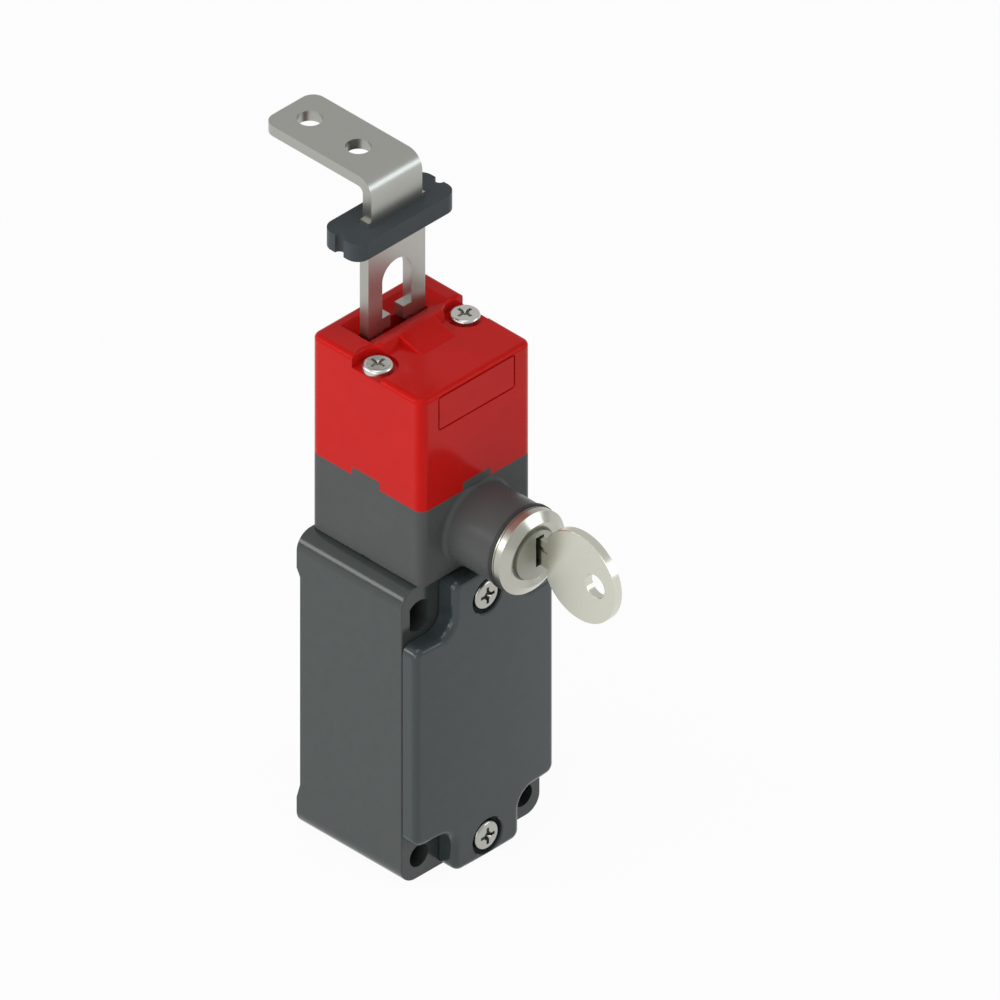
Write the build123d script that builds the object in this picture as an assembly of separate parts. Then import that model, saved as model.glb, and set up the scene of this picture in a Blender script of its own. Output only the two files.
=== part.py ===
"""Key-locked safety interlock switch with its separate bent actuator.

All sizes are in millimetres. X runs to the right along the front, Y to the back and Z up. The origin lies
under the middle of the actuating head, in the plane of the body's lower end.
"""
import os
from math import cos, radians, sin, sqrt

from build123d import *

# Fits shared by many pieces
RUN_FIT = 0.05          # radial clearance of a turning or sliding pin
SLIDE_GAP = 0.3         # clearance between moving flat faces
SCREW_FIT = 0.1         # radial clearance of a screw in a plain hole

# Cross recess of every screw, as shares of its radius
RECESS_REACH = 0.58     # of the head
RECESS_DEPTH = 0.65     # of the head's height
RECESS_ARM = 0.38
RECESS_ROOT = 0.12
RECESS_FLARE = 0.9
HEAD_DOME = 0.45        # of the head's height

# Body casing
BODY_WIDTH = 40.0
BODY_HEIGHT = 73.0
BODY_FRONT = -14.3      # plane where casing and cover meet
BODY_BACK = 15.0        # back wall between the mounting pads
BODY_CORNER = 4.0
BODY_EDGE_R = 0.3
PAD_RISE = 1.0
PAD_LOW = 7.5           # height of the full pad at the lower end
PAD_LOW_SLOPE = 3.5
PAD_HIGH = 8.2          # the same below the upper end
PAD_HIGH_SLOPE = 1.9
BACK_WALL = 2.2
TOP_WALL = 4.0
SIDE_WALL = 3.2
CAVITY_LOW = 15.0
CAVITY_DROP = 16.0      # wide part of the cavity below the upper end
CAVITY_NECK = 14.0      # width of the cavity between the mounting holes
MOUNT_PITCH_X = 30.0
MOUNT_LOW = 5.5
MOUNT_DROP = 7.5        # upper holes below the upper end
MOUNT_R = 2.65
SLOT_END_R = 3.65       # the upper holes are rounds of this radius with flattened sides
ENTRY_R = 9.25
ENTRY_DEPTH = 9.0

# Front cover
COVER_THICK = 5.0
COVER_CROWN_R = 230.0   # the front is slightly arched from side to side
COVER_EDGE_R = 1.5
COVER_JOINT = 0.3       # fine step that sets the cover off from the casing
COVER_MARGIN_LOW = 0.3
COVER_MARGIN_HIGH = 0.4
COVER_CORNER = 2.2
TAB_HALF = 9.4
NOTCH_LOW = 11.2
NOTCH_DROP = 12.6       # upper notches below the upper end
NOTCH_R = 4.0
COVER_SCREW_LOW = 5.3
COVER_SCREW_DROP = 7.6
COVER_SCREW_R = 2.0
COVER_SCREW_HEAD_R = 3.4
COVER_SCREW_HEAD = 1.9
COVER_SCREW_LENGTH = 4.6    # thread in the casing
COVER_SCREW_WALL = 1.0      # casing behind the blind thread
COVER_POCKET_R = 4.2
COVER_POCKET = 2.0
COVER_POCKET_RIM = 0.3
GASKET_IN = 0.4
GASKET_OUT = 1.5
GASKET_THICK = 1.0

# Actuating head
HEAD_SIDE = 32.0
HEAD_CORNER = 2.0
BASE_HEIGHT = 19.0
BASE_EDGE_R = 0.6
CAP_HEIGHT = 29.5
CAP_EDGE_R = 1.2
PLATEAU_DROP = 1.9      # front part of the cap's top below the raised rear block
STEP_Y = 2.6            # front edge of the raised rear block
STEP_RUN = 0.9          # depth of the sloped step in front of it
RAMP_LEFT = -3.8
RAMP_RIGHT = 6.3
RAMP_FOOT_Y = -4.0
RAMP_EDGE_R = 0.3
TONGUE_WIDTH = 8.0
TONGUE_HEIGHT = 2.0
HEAD_SCREW_X = 12.55
HEAD_SCREW_R = 1.75
HEAD_SCREW_HEAD_R = 3.25
HEAD_SCREW_HEAD = 1.6
HEAD_SCREW_DROP = 1.2       # its top below the cap's top
HEAD_SCREW_GRIP = 3.4       # thread in the casing
POCKET_R = 4.3
POCKET_RIM_R = 0.7
POCKET_MOUTH_HALF = 4.05
PANEL_WIDTH = 22.2
PANEL_HEIGHT = 8.4
PANEL_DROP = 2.8
PANEL_GROOVE = 0.4
PANEL_CORNER = 0.8
SPIGOT_R = 7.9
SPIGOT_DEPTH = 2.0
FLOOR_THICK = 2.5
BASE_ROOM = 9.8         # half width of the room in the base
CAP_ROOM = 6.5          # half width of the room for the cam
ROOM_WALL = 2.2
ROOF_THICK = 4.5
KNOCKOUT_WIDTH = 2.5
KNOCKOUT_HEIGHT = 0.6
KNOCKOUT_DEPTH = 0.5

# Actuator slot with its lead-in
SLOT_WIDTH = 17.6
SLOT_THICK = 3.2
SLOT_Y = 8.3
LEAD_DEPTH = 1.4
LEAD_BACK = 3.7
LEAD_FRONT = 3.0
LEAD_RIGHT = 3.6
LEAD_LEFT = 1.05

# Actuator blade, measured from the front of its collar
BLADE_THICK = 2.5
BLADE_WIDTH = 16.4
BLADE_LENGTH = 25.1
OPENING_HALF = 4.2
OPENING_CENTRE = 11.3
HOOK_START = 20.0
HOOK_END = 23.0
HOOK_GAP_HALF = 1.85
TIP_WIDTH = 4.2
TIP_CHAMFER = 0.9
PILOT_R = 1.65
LEG_WIDTH = 14.7
SHOULDER_REACH = 1.2        # full blade width behind the collar
COLLAR_THICK = 4.4
COLLAR_WIDTH = 29.0
COLLAR_DEPTH = 10.75
COLLAR_FRONT_REACH = 3.25   # collar beyond the blade face on the side away from the plate
COLLAR_CORNER = 3.0
COLLAR_NOTCH_R = 1.2
LEG_LENGTH = 8.5            # collar back to the inner face of the plate
PLATE_LENGTH = 31.5
BEND_INNER = 1.4
PLATE_CORNER = 3.0
PLATE_HOLE_R = 2.7
PLATE_HOLE_FIRST = 8.6
PLATE_HOLE_PITCH = 14.0
HOME_DEPTH = 22.0           # travel from rest, tips just entered, to fully home
OUT_TRAVEL = 6.0            # travel from rest to clear of the head
COLLAR_GAP = 0.1            # collar above the head when home

# Cam
CAM_DROP = 14.3             # cam axis below the cap's top
CAM_R = 8.8
CAM_HALF = 3.2
CAM_RATE = 5.6              # degrees of cam for each millimetre of the actuator
CAM_NOTCH_HALF_ANGLE = 24.0
CAM_NOTCH_FLOOR = 6.2
AXLE_R = 2.0
AXLE_LENGTH = 18.0
HUB_WALL = 1.4
HUB_REACH = 3.0
TRACK_HALF = 1.8
TRACK_LOW = 5.0             # track radius with the actuator home
TRACK_RISE = 3.0            # growth of the track radius over the whole travel
TRACK_MARGIN = 28.0         # degrees of track beyond each end of the travel
TRACK_POINTS = 25
LUG_R = 6.5
LUG_SPAN = 55.0
LUG_FLANK = 180.0           # world angle of the blocking flank with the actuator home

# Plunger and contacts
PLUNGER_R = 2.2
PLUNGER_TIP_R = 1.5
PLUNGER_TIP_LENGTH = 11.5
PLUNGER_CROWN = 0.7
SPRING_LENGTH = 8.5
SPRING_COLLAR_R = 4.0
SPRING_COLLAR_THICK = 1.4
SPRING_R = 3.2
SPRING_WIRE_R = 0.35
SPRING_TURNS = 5
SEAL_R = 5.6
SEAL_THICK = 1.2
CABLE_ROOM = 7.0            # free height under the contact block
BLOCK_GAP = 1.3             # block to side wall
BLOCK_TOP_GAP = 0.5
BLOCK_FRONT = -8.0
BLOCK_CORNER = 1.0
BLOCK_FLOOR = 2.36
CARRIER_HALF = 3.0
CARRIER_FOOT = 4.0          # carrier below its lower bridge
CARRIER_NECK = 5.5          # carrier above the block
BRIDGE_LOW = 12.0           # lower bridge above the block's lower end
BRIDGE_DROP = 5.5           # upper bridge below its upper end
BRIDGE_HALF = 8.0
BRIDGE_DEPTH = 4.0
BRIDGE_THICK = 0.8
BRIDGE_SLACK = 1.0
BRIDGE_ROOM_UP = 5.0
BRIDGE_ROOM_DOWN = 3.0
CONTACT_GAP = 0.3
CONTACT_LAP = 2.5
CONTACT_TAIL = 3.0
PLATE_THICK = 1.0
PLATE_SET = 1.0             # plates behind the block's front
TERMINAL_INSET = 4.0
TERMINAL_R = 2.9
TERMINAL_HEAD = 2.0
TERMINAL_SHANK_R = 1.4
TERMINAL_SHANK = 4.0
TERMINAL_RISE = 0.2
TERMINAL_ROOM = 3.4
TERMINAL_ROOM_UP = 5.4
TERMINAL_ROOM_DEPTH = 3.2
BLOCK_SCREW_INSET = 3.0
BLOCK_SCREW_RISE = 4.0
BLOCK_SCREW_R = 1.5
BLOCK_SCREW_HEAD_R = 2.6
BLOCK_SCREW_HEAD = 1.8
EARTH_INSET = 5.8           # from the cavity's side wall
EARTH_RISE = 3.5
EARTH_POST = 4.0
EARTH_SCREW_R = 1.5

# Lock
BOSS_R = 9.3
BOSS_FLARE = 1.0
BOSS_FRONT = -28.8
BOSS_ROOT = 1.0
RING_THICK = 0.9
RING_R = 9.7
BEZEL_R = 9.5
BEZEL_RIM = 2.2             # length of the bezel's cylinder
BEZEL_CONE = 1.4
BEZEL_CONE_R = 7.4
BEZEL_LAND = 0.2
BEZEL_DISH = 0.7            # depth of the hollow cone round the plug
BEZEL_FLANGE = 0.4          # thin flange in front of the sealing ring
BEZEL_GROOVE = 0.25         # groove between flange and rim
BARREL_R = 6.5
BARREL_BACK = -10.0
PLUG_R = 5.2
PLUG_SET = 0.1              # plug's face behind the bezel's
FLANGE_R = 5.6
FLANGE_THICK = 1.0
KEYWAY_RISE = 0.6
KEYWAY_HALF_HEIGHT = 3.6
KEYWAY_LEFT = -0.1          # the keyway lies on one side of the lock axis
KEYWAY_RIGHT = 2.2
KEYWAY_DEPTH = 21.0
NUT_FLATS = 16.0
NUT_THICK = 2.6
TAIL_R = 4.4
TAIL_THICK = 2.0
LOCK_PIN_OFFSET = 2.0       # the driving pin lies this far left of and below the lock axis
LOCK_PIN_R = 1.25
PIN_GAP = 0.35
BOLT_GAP = 0.6              # driver to bolt
BOLT_THICK = 2.0
BOLT_LEFT = -5.8
BOLT_RIGHT = 6.2
BOLT_ARM = 2.6              # width of the arm
BOLT_SHOULDER = 1.1         # foot above the lock axis
BOLT_FOOT = 5.9             # foot below the lock axis
BOLT_DROP = 4.7             # arm's top below the cam axis, lock open

# Key
KEY_THICK = 2.0
KEY_X = 0.9                 # middle of the bow's thickness
KEY_BLADE_THICK = 1.2       # the blade is flush with the bow's right face
KEY_SHOULDER = 3.2          # rear edge of the bow in front of the plug
BOW_R = 10.5
BOW_OFFSET = 9.2            # centre of the bow in front of its rear edge
BOW_RISE = 0.7
BOW_EDGE_R = 0.1
BOW_HOLE_R = 2.7
BOW_HOLE_OFFSET = 4.6
KEY_BLADE_HALF = 3.2
KEY_BLADE_LENGTH = 19.2     # inside the plug
KEY_TIP = 1.6
KEY_GROOVE = 0.3
KEY_GROOVE_HALF = 0.6
KEY_GROOVE_RISE = 0.9
BITTING = (1.2, 0.5, 1.6, 0.8, 1.3)     # depth of each cut
BITTING_PITCH = 3.1
BITTING_START = 3.4
BITTING_FLAT = 0.5

# Sizes worked out from the driving dimensions
PAD_BACK = BODY_BACK + PAD_RISE
BLOCK_BACK = BODY_BACK - BACK_WALL
MOUNT_X = MOUNT_PITCH_X / 2
MOUNT_HIGH = BODY_HEIGHT - MOUNT_DROP
CAVITY_HIGH = BODY_HEIGHT - CAVITY_DROP
COVER_FRONT = BODY_FRONT - COVER_THICK
COVER_SCREW_HIGH = BODY_HEIGHT - COVER_SCREW_DROP
HEAD_HALF = HEAD_SIDE / 2
BASE_TOP = BODY_HEIGHT + BASE_HEIGHT
CAP_TOP = BASE_TOP + CAP_HEIGHT
CAP_PLATEAU = CAP_TOP - PLATEAU_DROP
HEAD_SCREW_TOP = CAP_TOP - HEAD_SCREW_DROP
HEAD_SCREW_END = BODY_HEIGHT - HEAD_SCREW_GRIP
POCKET_FLOOR = HEAD_SCREW_TOP - HEAD_SCREW_HEAD
SPIGOT_LOW = BODY_HEIGHT - SPIGOT_DEPTH
BASE_FLOOR = BODY_HEIGHT + FLOOR_THICK
ROOM_HALF = HEAD_HALF - ROOM_WALL
BLADE_FRONT = SLOT_Y - BLADE_THICK / 2
BLADE_BACK = SLOT_Y + BLADE_THICK / 2
BLADE_HOME_Z = CAP_TOP + COLLAR_GAP
BLADE_ZERO = BLADE_HOME_Z + HOME_DEPTH      # front of the collar at rest
CAM_Z = CAP_TOP - CAM_DROP
CAM_HOME = -CAM_RATE * (CAM_Z - BLADE_HOME_Z + (HOOK_START + HOOK_END) / 2)
CAM_REST = CAM_HOME + CAM_RATE * HOME_DEPTH
CAM_OUT = CAM_REST + CAM_RATE * OUT_TRAVEL
TRACK_RATE = TRACK_RISE / (CAM_OUT - CAM_HOME)
TRACK_REST = TRACK_LOW + TRACK_RATE * (CAM_REST - CAM_HOME)
PLUNGER_TOP = CAM_Z - TRACK_REST - SLIDE_GAP
PLUNGER_SHOULDER = PLUNGER_TOP - PLUNGER_TIP_LENGTH
PLUNGER_UP = TRACK_REST - TRACK_LOW
PLUNGER_DOWN = TRACK_RISE - PLUNGER_UP
SPRING_TOP = BASE_FLOOR + SPRING_LENGTH
BLOCK_HALF_WIDTH = BODY_WIDTH / 2 - SIDE_WALL - BLOCK_GAP
BLOCK_LOW = CAVITY_LOW + CABLE_ROOM
BLOCK_HIGH = CAVITY_HIGH - BLOCK_TOP_GAP
BRIDGE_LEVELS = (BLOCK_LOW + BRIDGE_LOW, BLOCK_HIGH - BRIDGE_DROP)
CARRIER_LOW = BRIDGE_LEVELS[0] - CARRIER_FOOT
PLUNGER_LOW = BLOCK_HIGH + CARRIER_NECK
TERMINAL_X = BLOCK_HALF_WIDTH - TERMINAL_INSET
BLOCK_SCREW_X = BLOCK_HALF_WIDTH - BLOCK_SCREW_INSET
BLOCK_SCREW_Z = BLOCK_LOW + BLOCK_SCREW_RISE
EARTH_X = SIDE_WALL + EARTH_INSET - BODY_WIDTH / 2
EARTH_Z = CAVITY_LOW + EARTH_RISE
LOCK_Z = BODY_HEIGHT + BASE_HEIGHT / 2
RING_FRONT = BOSS_FRONT - RING_THICK
BEZEL_SHOULDER = RING_FRONT - BEZEL_RIM
BEZEL_FRONT = BEZEL_SHOULDER - BEZEL_CONE
PLUG_FRONT = BEZEL_FRONT + PLUG_SET
KEYWAY_Z = LOCK_Z + KEYWAY_RISE
BOLT_FRONT = BARREL_BACK + TAIL_THICK + BOLT_GAP
BOLT_BACK = BOLT_FRONT + BOLT_THICK
BOW_EDGE = PLUG_FRONT - KEY_SHOULDER
BOW_Y = BOW_EDGE - BOW_OFFSET
KEY_LEFT, KEY_RIGHT = KEY_X - KEY_THICK / 2, KEY_X + KEY_THICK / 2
BOW_Z = LOCK_Z + BOW_RISE
BOW_HOLE_Y = BOW_Y - BOW_HOLE_OFFSET


def block(x0, x1, y0, y1, z0, z1):
    """Square-edged solid between two opposite corners."""
    middle = Pos((x0 + x1) / 2, (y0 + y1) / 2, (z0 + z1) / 2)
    return middle * Box(abs(x1 - x0), y1 - y0, z1 - z0)


def rod_x(radius, y, z, x0, x1):
    """Round rod along X."""
    return Pos((x0 + x1) / 2, y, z) * Rot(0, 90, 0) * Cylinder(radius, x1 - x0)


def rod_y(radius, x, z, y0, y1):
    """Round rod along Y."""
    return Pos(x, (y0 + y1) / 2, z) * Rot(90, 0, 0) * Cylinder(radius, y1 - y0)


def rod_z(radius, x, y, z0, z1):
    """Round rod along Z."""
    return Pos(x, y, (z0 + z1) / 2) * Cylinder(radius, z1 - z0)


def prism_x(sketch, x0, x1):
    """Extrude a sketch drawn in Y and Z along X."""
    return extrude(Plane.YZ.offset(x0) * sketch, amount=x1 - x0)


def prism_y(sketch, y0, y1):
    """Extrude a sketch drawn in X and Z along Y."""
    return extrude(Plane.XZ.offset(-y1) * sketch, amount=y1 - y0)


def prism_z(sketch, z0, z1):
    """Extrude a sketch drawn in X and Y along Z."""
    return extrude(Plane.XY.offset(z0) * sketch, amount=z1 - z0)


def window(a0, a1, b0, b1):
    """Rectangle between two opposite corners of a sketch."""
    return Pos((a0 + a1) / 2, (b0 + b1) / 2) * Rectangle(a1 - a0, b1 - b0)


def cove(a, b, radius, side_a, side_b):
    """Corner patch with a hollow quarter-round that leaves the point (a, b) towards the given sides."""
    far_a, far_b = a + side_a * radius, b + side_b * radius
    patch = window(min(a, far_a), max(a, far_a), min(b, far_b), max(b, far_b))
    return patch - Pos(far_a, far_b) * Circle(radius)


def turned_y(profile, z):
    """Solid of revolution about an axis along Y at height z, from a sketch of radius and y."""
    return Pos(0, 0, z) * revolve(profile, Axis.Y)


def cross_recess(radius, depth):
    """Cross-shaped driver recess, cut downwards from the plane z = 0."""
    arm = Box(2 * radius, RECESS_ARM * radius, 2 * depth)
    return arm + Rot(0, 0, 90) * arm + Cone(RECESS_ROOT * radius, RECESS_FLARE * radius, 2 * depth)


def pan_screw(head_r, head_height, shank_r, length):
    """Pan-head screw with a cross recess, its head's top at z = 0 and its shank downwards."""
    head = Pos(0, 0, -head_height / 2) * Cylinder(head_r, head_height)
    head = fillet(head.edges().group_by(Axis.Z)[-1], HEAD_DOME * head_height)
    shank = Pos(0, 0, -head_height - length / 2) * Cylinder(shank_r, length)
    return head + shank - cross_recess(RECESS_REACH * head_r, RECESS_DEPTH * head_height)


# Body casing

def cavity_outline():
    """Room behind the cover: a wide middle and a narrower neck between the mounting holes."""
    room = window(-BODY_WIDTH / 2 + SIDE_WALL, BODY_WIDTH / 2 - SIDE_WALL, CAVITY_LOW, CAVITY_HIGH)
    neck = window(-CAVITY_NECK / 2, CAVITY_NECK / 2, ENTRY_DEPTH, BODY_HEIGHT - TOP_WALL)
    return Sketch() + room + neck


def mounting_holes(y0, y1):
    """The two round lower holes and the two barrel-shaped upper ones."""
    barrel = Circle(SLOT_END_R) & Rectangle(2 * MOUNT_R, 2 * SLOT_END_R)
    cuts = []
    for x in (-MOUNT_X, MOUNT_X):
        cuts.append(rod_y(MOUNT_R, x, MOUNT_LOW, y0, y1))
        cuts.append(prism_y(Pos(x, MOUNT_HIGH) * barrel, y0, y1))
    return cuts


def mounting_pads():
    """Raised pads across the back at both ends, each running out in a slope."""
    high = BODY_HEIGHT - PAD_HIGH
    low_pad = Polyline((BODY_BACK, 0), (PAD_BACK, 0), (PAD_BACK, PAD_LOW),
                       (BODY_BACK, PAD_LOW + PAD_LOW_SLOPE), close=True)
    high_pad = Polyline((BODY_BACK, BODY_HEIGHT), (PAD_BACK, BODY_HEIGHT), (PAD_BACK, high),
                        (BODY_BACK, high - PAD_HIGH_SLOPE), close=True)
    return [prism_x(make_face(side), -BODY_WIDTH / 2, BODY_WIDTH / 2) for side in (low_pad, high_pad)]


def body_casing():
    """Die-cast housing, open at the front, with mounting pads at the back and a bottom cable entry."""
    outline = Pos(0, BODY_HEIGHT / 2) * RectangleRounded(BODY_WIDTH, BODY_HEIGHT, BODY_CORNER)
    casing = prism_y(outline, BODY_FRONT, BODY_BACK)
    casing = fillet(casing.faces().sort_by(Axis.Y)[0].edges(), BODY_EDGE_R)
    rear = prism_y(outline, BODY_BACK, PAD_BACK)
    for pad in mounting_pads():
        casing += rear & pad
    casing -= prism_y(cavity_outline(), BODY_FRONT, BLOCK_BACK)
    post = 2 * COVER_SCREW_R
    casing += block(-post, post, BODY_FRONT, BODY_FRONT + COVER_SCREW_LENGTH + COVER_SCREW_WALL,
                    COVER_SCREW_HIGH - post, BODY_HEIGHT - TOP_WALL)
    for z in (COVER_SCREW_LOW, COVER_SCREW_HIGH):
        casing -= rod_y(COVER_SCREW_R, 0, z, BODY_FRONT, BODY_FRONT + COVER_SCREW_LENGTH)
    casing -= rod_z(ENTRY_R, 0, 0, 0, ENTRY_DEPTH)
    casing -= rod_z(SPIGOT_R + SCREW_FIT, 0, 0, BODY_HEIGHT - TOP_WALL, BODY_HEIGHT)
    for x in (-HEAD_SCREW_X, HEAD_SCREW_X):
        casing -= rod_z(HEAD_SCREW_R, x, 0, HEAD_SCREW_END, BODY_HEIGHT)
    casing += rod_y(TERMINAL_R, EARTH_X, EARTH_Z, BLOCK_BACK - EARTH_POST, BODY_BACK - BACK_WALL / 2)
    casing -= rod_y(EARTH_SCREW_R, EARTH_X, EARTH_Z, BLOCK_BACK - EARTH_POST, BLOCK_BACK)
    for cut in mounting_holes(BODY_FRONT, PAD_BACK):
        casing -= cut
    return casing


def near_any(vertex, others):
    """True if a vertex still stands where one of the others stood."""
    return any((vertex.center() - other.center()).length < RUN_FIT for other in others)


def cover_outline():
    """Cover seen from the front: a full-width middle with a tab at each end between the notches."""
    half = BODY_WIDTH / 2
    plate = window(-half, half, NOTCH_LOW, BODY_HEIGHT - NOTCH_DROP)
    tab = window(-TAB_HALF, TAB_HALF, COVER_MARGIN_LOW, BODY_HEIGHT - COVER_MARGIN_HIGH)
    outline = Sketch() + plate + tab
    levels = outline.vertices().group_by(Axis.Y)
    tab_ends = levels[0] + levels[-1]
    middle = (TAB_HALF + half) / 2
    plate_ends = [v for v in outline.vertices() if abs(v.X) > middle]
    notches = [v for v in levels[1] + levels[-2] if abs(v.X) < middle]
    outline = fillet(notches, NOTCH_R)
    corners = [v for v in outline.vertices() if near_any(v, tab_ends + plate_ends)]
    return fillet(corners, COVER_CORNER)


def gasket_loop(slack):
    """Sealing loop round the cavity, widened by a slack on both sides."""
    outside = offset(cavity_outline(), GASKET_OUT + slack)
    inside = offset(cavity_outline(), GASKET_IN - slack)
    return outside - inside


def front_cover():
    """Cast cover with an arched front, rounded edges, two screw pockets and a groove for its gasket."""
    arch = rod_z(COVER_CROWN_R, 0, COVER_FRONT + COVER_CROWN_R, 0, BODY_HEIGHT)
    cover = prism_y(cover_outline(), COVER_FRONT, BODY_FRONT - COVER_JOINT) & arch
    rim = cover.faces().sort_by(Axis.Y)[0].edges()
    cover = fillet(rim, COVER_EDGE_R)
    cover += prism_y(offset(cover_outline(), -COVER_JOINT), BODY_FRONT - COVER_JOINT, BODY_FRONT)
    floor, mouth = COVER_FRONT + COVER_POCKET, COVER_FRONT - COVER_POCKET_RIM
    pocket = Polyline((0, floor), (COVER_POCKET_R, floor), (COVER_POCKET_R, COVER_FRONT + COVER_POCKET_RIM),
                      (COVER_POCKET_R + 2 * COVER_POCKET_RIM, mouth), (0, mouth), close=True)
    for z in (COVER_SCREW_LOW, COVER_SCREW_HIGH):
        cover -= turned_y(make_face(pocket), z)
        cover -= rod_y(COVER_SCREW_R + SCREW_FIT, 0, z, COVER_FRONT, BODY_FRONT)
    return cover - prism_y(gasket_loop(SCREW_FIT), BODY_FRONT - GASKET_THICK, BODY_FRONT)


def cover_gasket():
    """Rubber loop pressed between casing and cover."""
    return prism_y(gasket_loop(0), BODY_FRONT - GASKET_THICK, BODY_FRONT)


def cover_screws():
    """Two cross-recess screws that hold the cover."""
    seat = COVER_FRONT + COVER_POCKET
    screw = pan_screw(COVER_SCREW_HEAD_R, COVER_SCREW_HEAD, COVER_SCREW_R,
                      BODY_FRONT + COVER_SCREW_LENGTH - seat)
    return Compound(children=[Pos(0, seat - COVER_SCREW_HEAD, z) * Rot(90, 0, 0) * screw
                              for z in (COVER_SCREW_LOW, COVER_SCREW_HIGH)])


# Actuating head

def head_outline():
    """Square plan of the head with rounded corners."""
    return RectangleRounded(HEAD_SIDE, HEAD_SIDE, HEAD_CORNER)


def face_tongues():
    """Small tongues of the grey base that rise into the red cap at the middle of each side."""
    tongue = block(-TONGUE_WIDTH / 2, TONGUE_WIDTH / 2, -HEAD_HALF, -HEAD_HALF + ROOM_WALL / 2,
                   BASE_TOP, BASE_TOP + TONGUE_HEIGHT)
    return [Rot(0, 0, 90 * k) * tongue for k in range(4)]


def lock_boss():
    """Round boss for the lock, flared at its root and cut off level with the base."""
    profile = window(0, BOSS_R, BOSS_FRONT, -HEAD_HALF + BOSS_ROOT)
    profile += cove(BOSS_R, -HEAD_HALF, BOSS_FLARE, 1, -1)
    return turned_y(profile, LOCK_Z) & block(-HEAD_HALF, HEAD_HALF, BOSS_FRONT, HEAD_HALF, BODY_HEIGHT, BASE_TOP)


def head_base():
    """Grey lower half of the head with the lock boss and the room for bolt and plunger."""
    base = prism_z(head_outline(), BODY_HEIGHT, BASE_TOP)
    base = fillet(base.faces().sort_by(Axis.Z)[0].edges(), BASE_EDGE_R)
    for tongue in face_tongues():
        base += tongue
    base += lock_boss()
    base += rod_z(SPIGOT_R, 0, 0, SPIGOT_LOW, BODY_HEIGHT + FLOOR_THICK / 2)
    base -= block(-BASE_ROOM, BASE_ROOM, -ROOM_HALF, ROOM_HALF, BASE_FLOOR, BASE_TOP)
    base -= block(-BASE_ROOM, BASE_ROOM, -ROOM_HALF, -ROOM_HALF + NUT_THICK + SLIDE_GAP,
                  LOCK_Z - NUT_FLATS / 2 - SCREW_FIT, BASE_TOP)
    base -= rod_y(BARREL_R + SCREW_FIT, 0, LOCK_Z, BOSS_FRONT, -ROOM_HALF)
    base -= rod_z(PLUNGER_R + RUN_FIT, 0, 0, SPIGOT_LOW, BASE_FLOOR)
    base -= rod_z(SEAL_R, 0, 0, SPIGOT_LOW, SPIGOT_LOW + SEAL_THICK)
    for x in (-HEAD_SCREW_X, HEAD_SCREW_X):
        base -= rod_z(HEAD_SCREW_R + SCREW_FIT, x, 0, BODY_HEIGHT, BASE_TOP)
    for x in (-HEAD_HALF, HEAD_HALF):
        base -= block(x - KNOCKOUT_DEPTH, x + KNOCKOUT_DEPTH, -KNOCKOUT_WIDTH / 2, KNOCKOUT_WIDTH / 2,
                      BODY_HEIGHT, BODY_HEIGHT + KNOCKOUT_HEIGHT)
    return base


def lead_in():
    """Shallow dish round the slot, steep at its left end and gently sloped on the other sides."""
    left, right = -SLOT_WIDTH / 2, SLOT_WIDTH / 2
    front, back = SLOT_Y - SLOT_THICK / 2, SLOT_Y + SLOT_THICK / 2
    mouth = window(left, right, front, back)
    top = window(left - LEAD_LEFT, right + LEAD_RIGHT, front - LEAD_FRONT, back + LEAD_BACK)
    return loft([Plane.XY.offset(CAP_TOP) * top, Plane.XY.offset(CAP_TOP - LEAD_DEPTH) * mouth])


def rounded_block(top):
    """Upper half of the head up to a level, with its top edges rounded."""
    solid = prism_z(head_outline(), BASE_TOP, top)
    return fillet(solid.faces().sort_by(Axis.Z)[-1].edges(), CAP_EDGE_R)


def cap_ramp():
    """Wedge that leads from the front part of the cap's top up to the slot."""
    low = CAP_PLATEAU - PLATEAU_DROP
    side = make_face(Polyline((STEP_Y, low), (STEP_Y, CAP_TOP), (RAMP_FOOT_Y, CAP_PLATEAU),
                              (RAMP_FOOT_Y, low), close=True))
    ramp = prism_x(side, RAMP_LEFT, RAMP_RIGHT)
    slope = ramp.faces().filter_by(lambda face: 0 < face.normal_at().Z < 1)[0]
    flanks = [edge for edge in slope.edges() if abs(edge.tangent_at(0).X) < 0.5]
    return fillet(flanks, RAMP_EDGE_R)


def screw_pocket(x):
    """Cutter for one head screw's pocket, open at the side of the cap and rounded at its rim."""
    rim = window(0, POCKET_R, POCKET_FLOOR, CAP_TOP) + cove(POCKET_R, CAP_TOP, POCKET_RIM_R, 1, -1)
    well = Pos(x, 0) * revolve(Plane.XZ * rim, Axis.Z)
    side = x * HEAD_SIDE / abs(x)
    return well + block(x, side, -POCKET_MOUTH_HALF, POCKET_MOUTH_HALF, POCKET_FLOOR, CAP_TOP)


def panel_groove():
    """Thin rectangular groove that frames an empty field on the cap's front."""
    place = Pos(0, CAP_TOP - PANEL_DROP - PANEL_HEIGHT / 2)
    outside = RectangleRounded(PANEL_WIDTH, PANEL_HEIGHT, PANEL_CORNER)
    inside = RectangleRounded(PANEL_WIDTH - 2 * PANEL_GROOVE, PANEL_HEIGHT - 2 * PANEL_GROOVE,
                              PANEL_CORNER - PANEL_GROOVE)
    return prism_y(place * (outside - inside), -HEAD_HALF, -HEAD_HALF + PANEL_GROOVE)


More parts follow.
